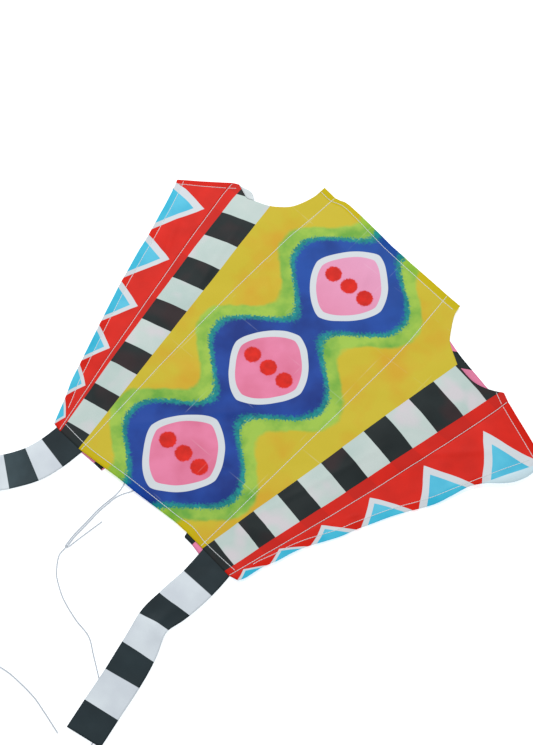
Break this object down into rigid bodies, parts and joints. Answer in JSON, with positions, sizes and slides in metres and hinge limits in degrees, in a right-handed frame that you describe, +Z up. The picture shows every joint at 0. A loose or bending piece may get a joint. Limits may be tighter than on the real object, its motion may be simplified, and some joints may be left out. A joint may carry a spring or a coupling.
{
  "type": "pocket kite",
  "caption": "Soft frameless kite of printed cloth with air cells, keels that fold, striped tails and a bridle with its line.",
  "frame": {"origin": "on the floor, midway between the leading edge and the ends of the tails, on the kite's centre line", "axes": "+Y from the tails to the leading edge, +X to the kite's right seen from above, +Z up from the floor"},
  "size_m": [0.7035, 0.937, 0.0194],
  "materials": {
    "centre": "printed polyester, slight sheen",
    "yellow": "printed polyester, slight sheen",
    "red": "printed polyester, slight sheen",
    "stripes": "printed polyester, slight sheen",
    "lower": "printed polyester, slight sheen",
    "tail": "printed polyester, slight sheen",
    "cord": "braided polyester"
  },
  "bodies": {
    "canopy": {"centre_panel": "centre", "left_cell_lower_sheet": "lower", "left_cell_red_band": "red", "left_cell_striped_band": "stripes", "left_cell_yellow_band": "yellow", "right_cell_lower_sheet": "lower", "right_cell_red_band": "red", "right_cell_striped_band": "stripes", "right_cell_yellow_band": "yellow", "left_bridle_line": "cord", "right_bridle_line": "cord", "line_loop_end": "cord", "bridle_knot": "cord", "flying_line": "cord"},
    "left_keel": {"left_keel": "red", "left_bridle_tie": "cord"},
    "left_tail": {"left_tail": "tail"},
    "right_keel": {"right_keel": "red", "right_bridle_tie": "cord"},
    "right_tail": {"right_tail": "tail"}
  },
  "joints": [
    {"name": "left_keel_fold", "type": "hinge", "parent": "canopy", "child": "left_keel", "pos_m": [-0.2145, 0.1045, 0.0031], "axis": [-0.2253, 0.9743, 0], "range_deg": [0, 90]},
    {"name": "right_keel_fold", "type": "hinge", "parent": "canopy", "child": "right_keel", "pos_m": [0.2145, 0.1045, 0.0031], "axis": [-0.2253, -0.9743, 0], "range_deg": [0, 90]},
    {"name": "left_tail_swing", "type": "hinge", "parent": "canopy", "child": "left_tail", "pos_m": [-0.136, -0.12265, 0.0031], "axis": [-1, 0, 0], "range_deg": [0, 90]},
    {"name": "right_tail_swing", "type": "hinge", "parent": "canopy", "child": "right_tail", "pos_m": [0.136, -0.12265, 0.0031], "axis": [-1, 0, 0], "range_deg": [0, 90]}
  ]
}
